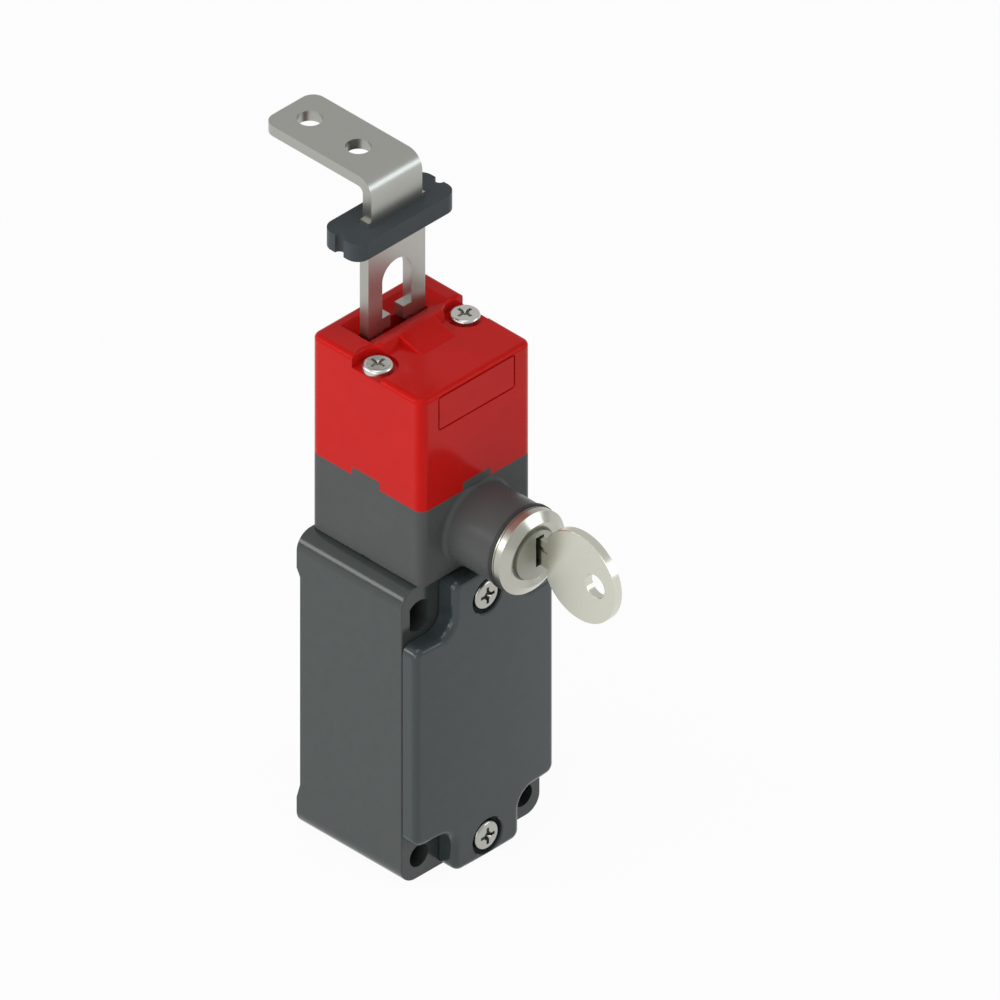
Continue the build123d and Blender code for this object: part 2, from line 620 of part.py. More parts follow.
def head_cap():
    """Red upper half of the head: stepped top, actuator slot, screw pockets and an empty framed field."""
    low = CAP_PLATEAU - PLATEAU_DROP
    rear = make_face(Polyline((STEP_Y - STEP_RUN, low), (STEP_Y - STEP_RUN, CAP_PLATEAU), (STEP_Y, CAP_TOP),
                              (HEAD_HALF, CAP_TOP), (HEAD_HALF, low), close=True))
    cap = rounded_block(CAP_PLATEAU) + (rounded_block(CAP_TOP) & prism_x(rear, -HEAD_HALF, HEAD_HALF))
    cap += cap_ramp()
    for tongue in face_tongues():
        cap -= tongue
    cap -= lead_in()
    cap -= block(-CAP_ROOM, CAP_ROOM, -ROOM_HALF, SLOT_Y, BASE_TOP, CAP_TOP - ROOF_THICK)
    cap -= block(-SLOT_WIDTH / 2, SLOT_WIDTH / 2, SLOT_Y - SLOT_THICK / 2, SLOT_Y + SLOT_THICK / 2,
                 BASE_TOP, CAP_TOP)
    cap -= rod_x(AXLE_R, 0, CAM_Z, -AXLE_LENGTH / 2, AXLE_LENGTH / 2)
    for x in (-HEAD_SCREW_X, HEAD_SCREW_X):
        cap -= screw_pocket(x)
        cap -= rod_z(HEAD_SCREW_R + SCREW_FIT, x, 0, BASE_TOP, POCKET_FLOOR)
    return cap - panel_groove()


def head_screws():
    """Two long cross-recess screws through cap and base into the casing."""
    screw = pan_screw(HEAD_SCREW_HEAD_R, HEAD_SCREW_HEAD, HEAD_SCREW_R, POCKET_FLOOR - HEAD_SCREW_END)
    return Compound(children=[Pos(x, 0, HEAD_SCREW_TOP) * screw for x in (-HEAD_SCREW_X, HEAD_SCREW_X)])


# Actuator

def blade_outline():
    """Flat fork seen from the front, in X and height, with the collar's front at height zero."""
    half = BLADE_WIDTH / 2
    outline = window(-half, half, -BLADE_LENGTH, 0)
    opening = Pos(0, -OPENING_CENTRE) * Circle(OPENING_HALF)
    opening += window(-OPENING_HALF, OPENING_HALF, -HOOK_START, -OPENING_CENTRE)
    opening += window(-HOOK_GAP_HALF, HOOK_GAP_HALF, -BLADE_LENGTH, -HOOK_START)
    tip_gap = half - TIP_WIDTH
    opening += window(-tip_gap, tip_gap, -BLADE_LENGTH, -HOOK_END)
    return outline - opening - Circle(PILOT_R)


def bent_leg():
    """Leg and mounting plate of the bent strip, seen from the side and drawn across its width."""
    low = BLADE_ZERO + COLLAR_THICK + LEG_LENGTH
    high = low + BLADE_THICK
    end = BLADE_FRONT + PLATE_LENGTH
    side = (window(BLADE_FRONT, BLADE_BACK, BLADE_ZERO, high) + window(BLADE_FRONT, end, low, high)
            + cove(BLADE_BACK, low, BEND_INNER, 1, -1))
    side -= cove(BLADE_FRONT, high, BEND_INNER + BLADE_THICK, 1, -1)
    bent = prism_x(side, -LEG_WIDTH / 2, LEG_WIDTH / 2)
    corners = bent.faces().sort_by(Axis.Y)[-1].edges().filter_by(Axis.Z)
    bent = fillet(corners, PLATE_CORNER)
    first = BLADE_BACK + PLATE_HOLE_FIRST
    for y in (first, first + PLATE_HOLE_PITCH):
        bent -= rod_z(PLATE_HOLE_R, 0, y, low, high)
    return bent


def actuator_blade():
    """Bent stainless strip: a mounting plate, a short leg through the collar and the forked blade."""
    blade = Pos(0, 0, BLADE_ZERO) * prism_y(blade_outline(), BLADE_FRONT, BLADE_BACK)
    tips = blade.faces().sort_by(Axis.Z)[:2]
    blade = chamfer([edge for tip in tips for edge in tip.edges().filter_by(Axis.X)], TIP_CHAMFER)
    shoulder = block(-BLADE_WIDTH / 2, BLADE_WIDTH / 2, BLADE_FRONT, BLADE_BACK,
                     BLADE_ZERO, BLADE_ZERO + COLLAR_THICK + SHOULDER_REACH)
    return blade + bent_leg() + shoulder - rod_y(PILOT_R, 0, BLADE_ZERO, BLADE_FRONT, BLADE_BACK)


def actuator_collar():
    """Moulded collar round the root of the blade."""
    middle = BLADE_FRONT - COLLAR_FRONT_REACH + COLLAR_DEPTH / 2
    outline = Pos(0, middle) * RectangleRounded(COLLAR_WIDTH, COLLAR_DEPTH, COLLAR_CORNER)
    outline -= Pos(0, SLOT_Y) * Rectangle(BLADE_WIDTH, BLADE_THICK)
    for x in (-COLLAR_WIDTH / 2, COLLAR_WIDTH / 2):
        outline -= Pos(x, middle) * Circle(COLLAR_NOTCH_R)
    return prism_z(outline, BLADE_ZERO, BLADE_ZERO + COLLAR_THICK)


# Cam

def sector(radius, start, end):
    """Pie slice in Y and Z between two angles in degrees."""
    middle = radians((start + end) / 2)
    half = radians(end - start) / 2
    reach = radius / cos(half)
    points = [(0, 0)]
    for angle in (middle - half, middle, middle + half):
        points.append((reach * cos(angle), reach * sin(angle)))
    return make_face(Polyline(*points, close=True)) & Circle(radius)


def track_face():
    """Cutter of the follower track: a spiral whose radius grows evenly over the working angle."""
    start = -90 - CAM_OUT - TRACK_MARGIN
    end = -90 - CAM_HOME + TRACK_MARGIN
    spiral, rim = [], []
    for k in range(TRACK_POINTS):
        angle = start + (end - start) * k / (TRACK_POINTS - 1)
        radius = TRACK_LOW + TRACK_RATE * (-90 - angle - CAM_HOME)
        way = (cos(radians(angle)), sin(radians(angle)))
        spiral.append((radius * way[0], radius * way[1]))
        rim.append((2 * CAM_R * way[0], 2 * CAM_R * way[1]))
    back = Polyline(spiral[-1], *reversed(rim), spiral[0])
    return make_face(Wire([Spline(*spiral)] + list(back.edges())))


def on_axle(cam):
    """Bore a cam piece for its axle and turn it to the place it has at rest."""
    cam -= rod_x(AXLE_R + RUN_FIT, 0, 0, -CAP_ROOM, CAP_ROOM)
    return Pos(0, 0, CAM_Z) * Rot(CAM_REST, 0, 0) * cam


def cam_drum():
    """Cam that the blade's hooks turn, with a follower track round its middle."""
    notch = sector(2 * CAM_R, -CAM_NOTCH_HALF_ANGLE, CAM_NOTCH_HALF_ANGLE) - Circle(CAM_NOTCH_FLOOR)
    cam = prism_x(Circle(CAM_R) - notch, -CAM_HALF, CAM_HALF)
    cam -= prism_x(track_face(), -TRACK_HALF, TRACK_HALF)
    cam += prism_x(Circle(AXLE_R + HUB_WALL), -CAM_HALF - HUB_REACH, -CAM_HALF)
    return on_axle(cam)


def locking_cam():
    """Disc with one lug beside the drum, which the raised bolt blocks."""
    flank = LUG_FLANK - CAM_HOME
    disc = Circle(AXLE_R + HUB_WALL) + sector(LUG_R, flank - LUG_SPAN, flank)
    return on_axle(prism_x(disc, CAM_HALF, CAM_HALF + HUB_REACH))


def cam_axle():
    """Steel pin that carries the cam."""
    return rod_x(AXLE_R, 0, CAM_Z, -AXLE_LENGTH / 2, AXLE_LENGTH / 2)


# Plunger and contacts

def head_plunger():
    """Stepped plunger from the cam's track down to the contact block."""
    plunger = rod_z(PLUNGER_R, 0, 0, PLUNGER_LOW, PLUNGER_SHOULDER)
    plunger += rod_z(PLUNGER_TIP_R, 0, 0, PLUNGER_SHOULDER, PLUNGER_TOP)
    plunger = fillet(plunger.edges().group_by(Axis.Z)[-1], PLUNGER_CROWN)
    return plunger + rod_z(SPRING_COLLAR_R, 0, 0, SPRING_TOP, SPRING_TOP + SPRING_COLLAR_THICK)


def plunger_spring():
    """Return spring under the plunger's collar."""
    height = SPRING_LENGTH - 2 * SPRING_WIRE_R
    path = Pos(0, 0, BASE_FLOOR + SPRING_WIRE_R) * Helix(height / SPRING_TURNS, height, SPRING_R)
    start = Plane(origin=path @ 0, z_dir=path % 0)
    return sweep(start * Circle(SPRING_WIRE_R), path=path)


def plunger_seal():
    """Rubber ring that keeps dirt out of the contact room."""
    ring = Circle(SEAL_R) - Circle(PLUNGER_R + RUN_FIT)
    return prism_z(ring, SPIGOT_LOW, SPIGOT_LOW + SEAL_THICK)


def contact_block():
    """Moulded block with a central shaft for the carrier and windows for the moving bridges."""
    shell = block(-BLOCK_HALF_WIDTH, BLOCK_HALF_WIDTH, BLOCK_FRONT, BLOCK_BACK, BLOCK_LOW, BLOCK_HIGH)
    shell = fillet(shell.edges().filter_by(Axis.Y), BLOCK_CORNER)
    gap = CARRIER_HALF + SLIDE_GAP
    shell -= block(-gap, gap, -gap, gap, BLOCK_LOW + BLOCK_FLOOR, BLOCK_HIGH)
    for z in BRIDGE_LEVELS:
        shell -= block(-BRIDGE_HALF - BRIDGE_SLACK, BRIDGE_HALF + BRIDGE_SLACK, -gap, gap,
                       z - BRIDGE_ROOM_DOWN, z + BRIDGE_ROOM_UP)
        for x in (-TERMINAL_X, TERMINAL_X):
            shell -= block(x - TERMINAL_ROOM, x + TERMINAL_ROOM, BLOCK_FRONT, BLOCK_FRONT + TERMINAL_ROOM_DEPTH,
                           z - TERMINAL_ROOM, z + TERMINAL_ROOM_UP)
    for x in (-BLOCK_SCREW_X, BLOCK_SCREW_X):
        shell -= rod_y(BLOCK_SCREW_R + SCREW_FIT, x, BLOCK_SCREW_Z, BLOCK_FRONT, BLOCK_BACK)
    for piece in fixed_contacts().solids() + terminal_screws().solids():
        shell -= piece
    return shell


def contact_carrier():
    """Sliding carrier that the plunger pushes."""
    carrier = block(-CARRIER_HALF, CARRIER_HALF, -CARRIER_HALF, CARRIER_HALF, CARRIER_LOW, PLUNGER_LOW)
    for z in BRIDGE_LEVELS:
        carrier -= block(-CARRIER_HALF, CARRIER_HALF, -BRIDGE_DEPTH / 2, BRIDGE_DEPTH / 2, z, z + BRIDGE_THICK)
    return carrier


def contact_bridges():
    """Moving contact strips, one at each level."""
    return Compound(children=[block(-BRIDGE_HALF, BRIDGE_HALF, -BRIDGE_DEPTH / 2, BRIDGE_DEPTH / 2,
                                    z, z + BRIDGE_THICK) for z in BRIDGE_LEVELS])


def fixed_contacts():
    """Fixed contact plates that run from above the bridges to the terminals at the front."""
    plates = []
    for z in BRIDGE_LEVELS:
        low = z + BRIDGE_THICK + PLUNGER_UP + CONTACT_GAP
        plate = block(BRIDGE_HALF - CONTACT_LAP, TERMINAL_X + CONTACT_TAIL, BLOCK_FRONT + PLATE_SET,
                      BRIDGE_DEPTH / 2, low, low + PLATE_THICK)
        plates += [plate, mirror(plate, Plane.YZ)]
    return Compound(children=plates)


def terminal_screws():
    """Four clamp screws that face the front."""
    screw = pan_screw(TERMINAL_R, TERMINAL_HEAD, TERMINAL_SHANK_R, TERMINAL_SHANK)
    return Compound(children=[Pos(x, BLOCK_FRONT + PLATE_SET, z + TERMINAL_RISE) * Rot(90, 0, 0) * screw
                              for z in BRIDGE_LEVELS for x in (-TERMINAL_X, TERMINAL_X)])


def block_screws():
    """Two screws that hold the contact block to the back wall."""
    screw = pan_screw(BLOCK_SCREW_HEAD_R, BLOCK_SCREW_HEAD, BLOCK_SCREW_R, BLOCK_BACK - BLOCK_FRONT)
    return Compound(children=[Pos(x, BLOCK_FRONT - BLOCK_SCREW_HEAD, BLOCK_SCREW_Z) * Rot(90, 0, 0) * screw
                              for x in (-BLOCK_SCREW_X, BLOCK_SCREW_X)])


def earth_screw():
    """Protective earth screw on its post at the back wall."""
    screw = pan_screw(TERMINAL_R, TERMINAL_HEAD, EARTH_SCREW_R, EARTH_POST)
    return Pos(EARTH_X, BLOCK_BACK - EARTH_POST - TERMINAL_HEAD, EARTH_Z) * Rot(90, 0, 0) * screw


# Lock

def lock_barrel():
    """Turned barrel with its bezel: threaded behind, conical outside and hollowed in front."""
    bore = PLUG_R + RUN_FIT
    seat = PLUG_FRONT + FLANGE_THICK
    flange = RING_FRONT - BEZEL_FLANGE
    profile = Polyline((bore, BARREL_BACK), (BARREL_R, BARREL_BACK), (BARREL_R, RING_FRONT),
                       (BEZEL_R, RING_FRONT), (BEZEL_R, BEZEL_SHOULDER), (BEZEL_CONE_R, BEZEL_FRONT),
                       (BEZEL_CONE_R - BEZEL_LAND, BEZEL_FRONT), (FLANGE_R + RUN_FIT, BEZEL_FRONT + BEZEL_DISH),
                       (FLANGE_R + RUN_FIT, seat), (bore, seat), close=True)
    groove = window(BEZEL_R - BEZEL_GROOVE, BEZEL_R, flange - BEZEL_GROOVE, flange)
    return turned_y(make_face(profile) - groove, LOCK_Z)


def bezel_ring():
    """Black sealing ring between boss and bezel."""
    return turned_y(window(BARREL_R, RING_R, RING_FRONT, BOSS_FRONT), LOCK_Z)


def lock_nut():
    """Hexagon nut that draws the barrel into the boss from inside."""
    flats = RegularPolygon(NUT_FLATS / 2, 6, major_radius=False, rotation=0) - Circle(BARREL_R)
    return prism_y(Pos(0, LOCK_Z) * flats, -ROOM_HALF, -ROOM_HALF + NUT_THICK)


def lock_plug():
    """Turning core with a front flange and the keyway."""
    plug = rod_y(PLUG_R, 0, LOCK_Z, PLUG_FRONT, BARREL_BACK)
    plug += rod_y(FLANGE_R, 0, LOCK_Z, PLUG_FRONT, PLUG_FRONT + FLANGE_THICK)
    return plug - block(KEYWAY_LEFT, KEYWAY_RIGHT, PLUG_FRONT, PLUG_FRONT + KEYWAY_DEPTH,
                        KEYWAY_Z - KEYWAY_HALF_HEIGHT, KEYWAY_Z + KEYWAY_HALF_HEIGHT)


def lock_tail():
    """Driver on the inner end of the plug, with an off-centre pin."""
    tail = rod_y(TAIL_R, 0, LOCK_Z, BARREL_BACK, BARREL_BACK + TAIL_THICK)
    return tail + rod_y(LOCK_PIN_R, -LOCK_PIN_OFFSET, LOCK_Z - LOCK_PIN_OFFSET, BARREL_BACK, BOLT_BACK)


def lock_bolt():
    """Flat bolt: a cross slot for the driver's pin and an arm that rises beside the cam's lug."""
    low = LOCK_Z - BOLT_FOOT
    foot = window(BOLT_LEFT, BOLT_RIGHT, low, LOCK_Z + BOLT_SHOULDER)
    arm = window(BOLT_RIGHT - BOLT_ARM, BOLT_RIGHT, low, CAM_Z - BOLT_DROP)
    half = LOCK_PIN_R + PIN_GAP
    pin_z = LOCK_Z - LOCK_PIN_OFFSET
    reach = sqrt(2) * LOCK_PIN_OFFSET
    slot = window(-reach - half, -LOCK_PIN_OFFSET + half, pin_z - half, pin_z + half)
    return prism_y(Sketch() + foot + arm - slot, BOLT_FRONT, BOLT_BACK)


def key_blade():
    """Grooved blade with a row of cuts along its lower edge, seen from the side in Y and Z."""
    end = PLUG_FRONT + KEY_BLADE_LENGTH
    low, high = KEYWAY_Z - KEY_BLADE_HALF, KEYWAY_Z + KEY_BLADE_HALF
    side = make_face(Polyline((BOW_EDGE - KEY_SHOULDER, low), (BOW_EDGE - KEY_SHOULDER, high),
                              (end - KEY_TIP, high), (end, high - KEY_TIP), (end - KEY_TIP, low), close=True))
    for k, depth in enumerate(BITTING):
        y = PLUG_FRONT + BITTING_START + k * BITTING_PITCH
        side -= make_face(Polyline((y - BITTING_FLAT - depth, low), (y - BITTING_FLAT, low + depth),
                                   (y + BITTING_FLAT, low + depth), (y + BITTING_FLAT + depth, low), close=True))
    left = KEY_RIGHT - KEY_BLADE_THICK
    blade = prism_x(side, left, KEY_RIGHT)
    groove_z = KEYWAY_Z + KEY_GROOVE_RISE
    for x in (left, KEY_RIGHT):
        blade -= block(x - KEY_GROOVE, x + KEY_GROOVE, BOW_EDGE, end,
                       groove_z - KEY_GROOVE_HALF, groove_z + KEY_GROOVE_HALF)
    return blade


def lock_key():
    """Flat steel key with a round holed bow."""
    bow = Pos(BOW_Y, BOW_Z) * Circle(BOW_R) & window(BOW_Y - BOW_R, BOW_EDGE, BOW_Z - BOW_R, BOW_Z + BOW_R)
    bow -= Pos(BOW_HOLE_Y, BOW_Z) * Circle(BOW_HOLE_R)
    disc = prism_x(bow, KEY_LEFT, KEY_RIGHT)
    rims = [face.edges() for face in disc.faces().filter_by(Axis.X)]
    disc = chamfer([edge for rim in rims for edge in rim], BOW_EDGE_R)
    return disc + key_blade()


NODES = {
    "body_casing": body_casing,
    "front_cover": front_cover,
    "cover_gasket": cover_gasket,
    "cover_screws": cover_screws,
    "head_base": head_base,
    "head_cap": head_cap,
    "head_screws": head_screws,
    "actuator_blade": actuator_blade,
    "actuator_collar": actuator_collar,
    "cam_drum": cam_drum,
    "locking_cam": locking_cam,
    "cam_axle": cam_axle,
    "head_plunger": head_plunger,
    "plunger_spring": plunger_spring,
    "plunger_seal": plunger_seal,
    "contact_block": contact_block,
    "contact_carrier": contact_carrier,
    "contact_bridges": contact_bridges,
    "fixed_contacts": fixed_contacts,
    "terminal_screws": terminal_screws,
    "block_screws": block_screws,
    "earth_screw": earth_screw,
    "lock_barrel": lock_barrel,
    "bezel_ring": bezel_ring,
    "lock_nut": lock_nut,
    "lock_plug": lock_plug,
    "lock_tail": lock_tail,
    "lock_bolt": lock_bolt,
    "lock_key": lock_key,
}

os.makedirs("parts", exist_ok=True)
for name, build in NODES.items():
    export_step(build(), f"parts/{name}.step")
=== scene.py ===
"""Dresses the key-locked safety interlock switch: finishes, coils and threads, light and camera.

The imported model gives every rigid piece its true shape. This script gives each of them its finish, adds the
thread of the cable entry, winds the plunger's spring short enough to clear the plunger at its lowest, and sets
up an isometric studio view. Lengths are in metres, and the patterns of the finishes are in millimetres.
"""
import logging
from abc import ABC, abstractmethod
from dataclasses import dataclass, field
from enum import Enum
from math import pi

import bpy
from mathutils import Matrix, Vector


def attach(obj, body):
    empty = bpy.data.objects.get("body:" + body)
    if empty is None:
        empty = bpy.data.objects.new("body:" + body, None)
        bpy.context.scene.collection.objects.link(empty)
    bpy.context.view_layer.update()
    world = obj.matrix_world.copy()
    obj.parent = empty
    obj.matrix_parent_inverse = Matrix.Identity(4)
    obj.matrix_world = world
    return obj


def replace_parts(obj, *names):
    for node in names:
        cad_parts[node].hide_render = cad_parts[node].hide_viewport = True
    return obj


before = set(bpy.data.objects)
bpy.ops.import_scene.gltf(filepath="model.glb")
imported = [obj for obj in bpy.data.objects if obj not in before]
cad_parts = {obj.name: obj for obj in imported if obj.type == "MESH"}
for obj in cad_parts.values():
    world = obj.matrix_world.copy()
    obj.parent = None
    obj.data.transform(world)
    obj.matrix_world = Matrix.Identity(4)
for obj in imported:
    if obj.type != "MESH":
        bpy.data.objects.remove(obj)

LOG = logging.getLogger("interlock_switch")
MM = 0.001
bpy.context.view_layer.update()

Triple = tuple[float, float, float]
Pair = tuple[float, float]

OPAQUE = 1.0
WHITE = (1.0, 1.0, 1.0, OPAQUE)
NOISE_MEAN = 0.5

# Sockets of a Mix node that is set to colour, which share their names with those of its other kinds.
MIX_FACTOR, MIX_FIRST, MIX_SECOND, MIX_RESULT = 0, 6, 7, 2


class Sheen(Enum):
    """How a surface takes the light, as a roughness."""

    DULL = 0.62
    MATT = 0.46
    SATIN = 0.34
    SEMI_GLOSS = 0.27
    GLOSS = 0.21
    POLISHED = 0.15


class Way(Enum):
    """Direction along which a metal surface was brushed, as the index of its axis."""

    X = 0
    Y = 1
    Z = 2


# Node trees

class Value:
    """An output socket that takes part in Python expressions."""

    def __init__(self, nodes: "Nodes", socket: bpy.types.NodeSocket) -> None:
        """Wraps a socket.

        Args:
            nodes: the builder of the tree that holds the socket.
            socket: the output socket to wrap.
        """
        self.nodes = nodes
        self.socket = socket

    def _maths(self, operation: str, first: "Operand", second: "Operand") -> "Value":
        """Adds a Math node for one operation.

        Args:
            operation: the Math node's operation.
            first: its first operand.
            second: its second operand.

        Returns:
            The node's result.
        """
        return self.nodes.node("ShaderNodeMath", {"operation": operation}, {0: first, 1: second})

    def __add__(self, other: "Operand") -> "Value":
        """self + other"""
        return self._maths("ADD", self, other)

    def __radd__(self, other: "Operand") -> "Value":
        """other + self"""
        return self._maths("ADD", other, self)

    def __sub__(self, other: "Operand") -> "Value":
        """self - other"""
        return self._maths("SUBTRACT", self, other)

    def __rsub__(self, other: "Operand") -> "Value":
        """other - self"""
        return self._maths("SUBTRACT", other, self)

    def __mul__(self, other: "Operand") -> "Value":
        """self * other"""
        return self._maths("MULTIPLY", self, other)

    def __rmul__(self, other: "Operand") -> "Value":
        """other * self"""
        return self._maths("MULTIPLY", other, self)


Operand = Value | float


def blend(first: Value, second: Value, share: float) -> Value:
    """Two patterns added together, the second with the given share."""
    return first * (1 - share) + second * share


def swing(noise: Value, amount: float) -> Value:
    """Noise as a swing about zero."""
    return (noise - NOISE_MEAN) * amount


class Nodes:
    """Builds one node tree."""

    def __init__(self, tree: bpy.types.NodeTree) -> None:
        """Starts with an empty tree.

        Args:
            tree: the tree to fill.
        """
        self.tree = tree
        self.tree.nodes.clear()

    def node(self, kind: str, settings: dict | None = None, sockets: dict | None = None,
             output: int | str = 0) -> Value:
        """Adds a node.

        Args:
            kind: the node's type.
            settings: properties set before the sockets.
            sockets: values or links by socket name or index.
            output: which output to return.

        Returns:
            The chosen output.
        """
        made = self.tree.nodes.new(kind)
        for key, value in (settings or {}).items():
            setattr(made, key, value)
        for key, value in (sockets or {}).items():
            if isinstance(value, Value):
                self.tree.links.new(value.socket, made.inputs[key])
            else:
                made.inputs[key].default_value = value
        return Value(self, made.outputs[output])

    def close(self, kind: str, result: Value) -> None:
        """Adds the node that ends the tree.

        Args:
            kind: the end node's type.
            result: what goes into its first socket.
        """
        self.tree.links.new(result.socket, self.tree.nodes.new(kind).inputs[0])


@dataclass(frozen=True)
class Pattern:
    """One kind of noise: features for each millimetre, octaves and how much the fine ones count."""

    scale: float
    detail: float = 3.0
    roughness: float = 0.55


class Shader(Nodes):
    """Builds the node tree of a material or of the world."""

    def __init__(self, owner: bpy.types.Material | bpy.types.World) -> None:
        """Starts an empty tree.

        Args:
            owner: the material or world to build.
        """
        owner.use_nodes = True
        super().__init__(owner.node_tree)

    def place(self) -> Value:
        """Object coordinates in millimetres."""
        coordinates = self.node("ShaderNodeTexCoord", output="Object")
        return self.node("ShaderNodeVectorMath", {"operation": "SCALE"}, {0: coordinates, "Scale": 1 / MM})

    def noise(self, place: Value, pattern: Pattern) -> Value:
        """Smooth noise between 0 and 1.

        Args:
            place: where to read it.
            pattern: which noise.

        Returns:
            The noise factor.
        """
        return self.node("ShaderNodeTexNoise", {"noise_dimensions": "3D"}, {
            "Vector": place, "Scale": pattern.scale, "Detail": pattern.detail, "Roughness": pattern.roughness})

    def ramp(self, factor: Value, low: float, high: float) -> Value:
        """A factor spread from 0 to 1 between two limits."""
        return self.node("ShaderNodeMapRange", {"clamp": True}, {"Value": factor, "From Min": low, "From Max": high})

    def mix(self, factor: Value, first: Triple, second: Triple) -> Value:
        """Mixes two colours.

        Args:
            factor: 0 for the first, 1 for the second.
            first: one colour.
            second: the other colour.

        Returns:
            The mixed colour.
        """
        return self.node("ShaderNodeMix", {"data_type": "RGBA"}, {
            MIX_FACTOR: factor, MIX_FIRST: (*first, OPAQUE), MIX_SECOND: (*second, OPAQUE)}, output=MIX_RESULT)

    def stretched(self, vector: Value, scale: Triple) -> Value:
        """A vector multiplied axis by axis."""
        return self.node("ShaderNodeVectorMath", {"operation": "MULTIPLY"}, {0: vector, 1: scale})

    def bump(self, height: Value, strength: float, distance: float) -> Value:
        """A normal raised by a height.

        Args:
            height: relief between 0 and 1.
            strength: share of the relief that shows.
            distance: real height of the relief, in metres.

        Returns:
            The new normal.
        """
        return self.node("ShaderNodeBump", {}, {"Height": height, "Strength": strength, "Distance": distance})

    def ray(self, kind: str) -> Value:
        """1 for the rays of a kind, such as Is Camera Ray, and 0 for all others."""
        return self.node("ShaderNodeLightPath", output=kind)

    def capped(self, value: Value) -> Value:
        """A value that goes no higher than 1."""
        return self.node("ShaderNodeMath", {"operation": "MINIMUM"}, {0: value, 1: 1.0})

    def choice(self, factor: Value, first: Value, second: Value) -> Value:
        """One of two shaders: the first at factor 0, the second at factor 1."""
        return self.node("ShaderNodeMixShader", {}, {0: factor, 1: first, 2: second})


# Finishes

@dataclass(frozen=True)
class Finish(ABC):
    """A finish: its colour varies between two shades where a pattern runs over a span."""

    name: str
    colour: Triple
    sheen: Sheen = Sheen.SATIN
    span: Pair = (0.3, 0.7)
    shades: Pair = (0.96, 1.04)

    @abstractmethod
    def surface(self, shader: Shader, place: Value) -> dict:
        """The principled surface's sockets.

        Args:
            shader: the material's builder.
            place: object coordinates in millimetres.

        Returns:
            Values and links by socket name.
        """

    def tone(self, shader: Shader, pattern: Value) -> Value:
        """The finish's colour, from its dark to its light shade.

        Args:
            shader: the material's builder.
            pattern: what the colour follows.

        Returns:
            The colour.
        """
        dark, light = (tuple(part * share for part in self.colour) for share in self.shades)
        return shader.mix(shader.ramp(pattern, *self.span), dark, light)

    def material(self) -> bpy.types.Material:
        """Builds the finish's material."""
        material = bpy.data.materials.new(self.name)
        shader = Shader(material)
        sockets = self.surface(shader, shader.place())
        shader.close("ShaderNodeOutputMaterial", shader.node("ShaderNodeBsdfPrincipled", {}, sockets))
        return material


@dataclass(frozen=True)
class PowderCoat(Finish):
    """Baked powder coat on a casting: fine orange peel under a satin skin."""

    span: Pair = (0.35, 0.65)
    cloud: Pattern = Pattern(0.35, 2.0)
    grain: Pattern = Pattern(1.6, 4.0, 0.6)
    speck: Pattern = Pattern(7.0, 2.0)
    speck_in_tone: float = 0.3
    speck_in_peel: float = 0.25
    wear: float = 0.04
    peel: float = 0.003 * MM
    peel_strength: float = 0.6
    shine: float = 0.42

    def surface(self, shader: Shader, place: Value) -> dict:
        """Broad clouds and specks in the colour, orange peel in the relief."""
        cloud = shader.noise(place, self.cloud)
        grain = shader.noise(place, self.grain)
        speck = shader.noise(place, self.speck)
        peel = blend(grain, speck, self.speck_in_peel)
        return {"Base Color": self.tone(shader, blend(cloud, speck, self.speck_in_tone)),
                "Roughness": self.sheen.value + swing(grain, self.wear),
                "Normal": shader.bump(peel, self.peel_strength, self.peel),
                "Specular IOR Level": self.shine}


@dataclass(frozen=True)
class MouldedPlastic(Finish):
    """Injection-moulded plastic with a fine spark-eroded texture."""

    flow: Pattern = Pattern(0.09)
    grain: Pattern = Pattern(3.4, 3.0, 0.65)
    grain_wear: float = 0.06
    flow_wear: float = 0.03
    depth: float = 0.010 * MM
    depth_strength: float = 0.5
    tint: Triple = (1.0, 1.0, 1.0)
    shine: float = 0.16
    ior: float = 1.4

    def surface(self, shader: Shader, place: Value) -> dict:
        """Slow flow marks in the colour, the tool's texture in the relief."""
        flow = shader.noise(place, self.flow)
        grain = shader.noise(place, self.grain)
        return {"Base Color": self.tone(shader, flow),
                "Roughness": self.sheen.value + swing(grain, self.grain_wear) + swing(flow, self.flow_wear),
                "Normal": shader.bump(grain, self.depth_strength, self.depth),
                "IOR": self.ior,
                "Specular IOR Level": self.shine,
                "Specular Tint": (*self.tint, OPAQUE)}


@dataclass(frozen=True)
class BrushedMetal(Finish):
    """Metal sheet or rod with fine scratches along one direction."""

    sheen: Sheen = Sheen.SEMI_GLOSS
    shades: Pair = (0.97, 1.03)
    way: Way = Way.Z
    fineness: float = 2.2
    streak: float = 14.0
    scratches: Pattern = Pattern(1.0, 4.0, 0.7)
    cloud: Pattern = Pattern(0.11)
    stain: Pattern = Pattern(0.6, 4.0, 0.6)
    stain_in_tone: float = 0.4
    wear: float = 0.05
    scratch: float = 0.0006 * MM
    scratch_strength: float = 0.35

    def surface(self, shader: Shader, place: Value) -> dict:
        """Scratches drawn out along the brushed direction over faint clouds and stains."""
        along = [self.fineness] * 3
        along[self.way.value] = self.fineness / self.streak
        scratches = shader.noise(shader.stretched(place, tuple(along)), self.scratches)
        cloud = shader.noise(place, self.cloud)
        stain = shader.noise(place, self.stain)
        return {"Base Color": self.tone(shader, blend(scratches, stain, self.stain_in_tone)),
                "Metallic": 1.0,
                "Roughness": self.sheen.value + swing(scratches, self.wear) + swing(cloud, self.wear),
                "Normal": shader.bump(scratches, self.scratch_strength, self.scratch)}


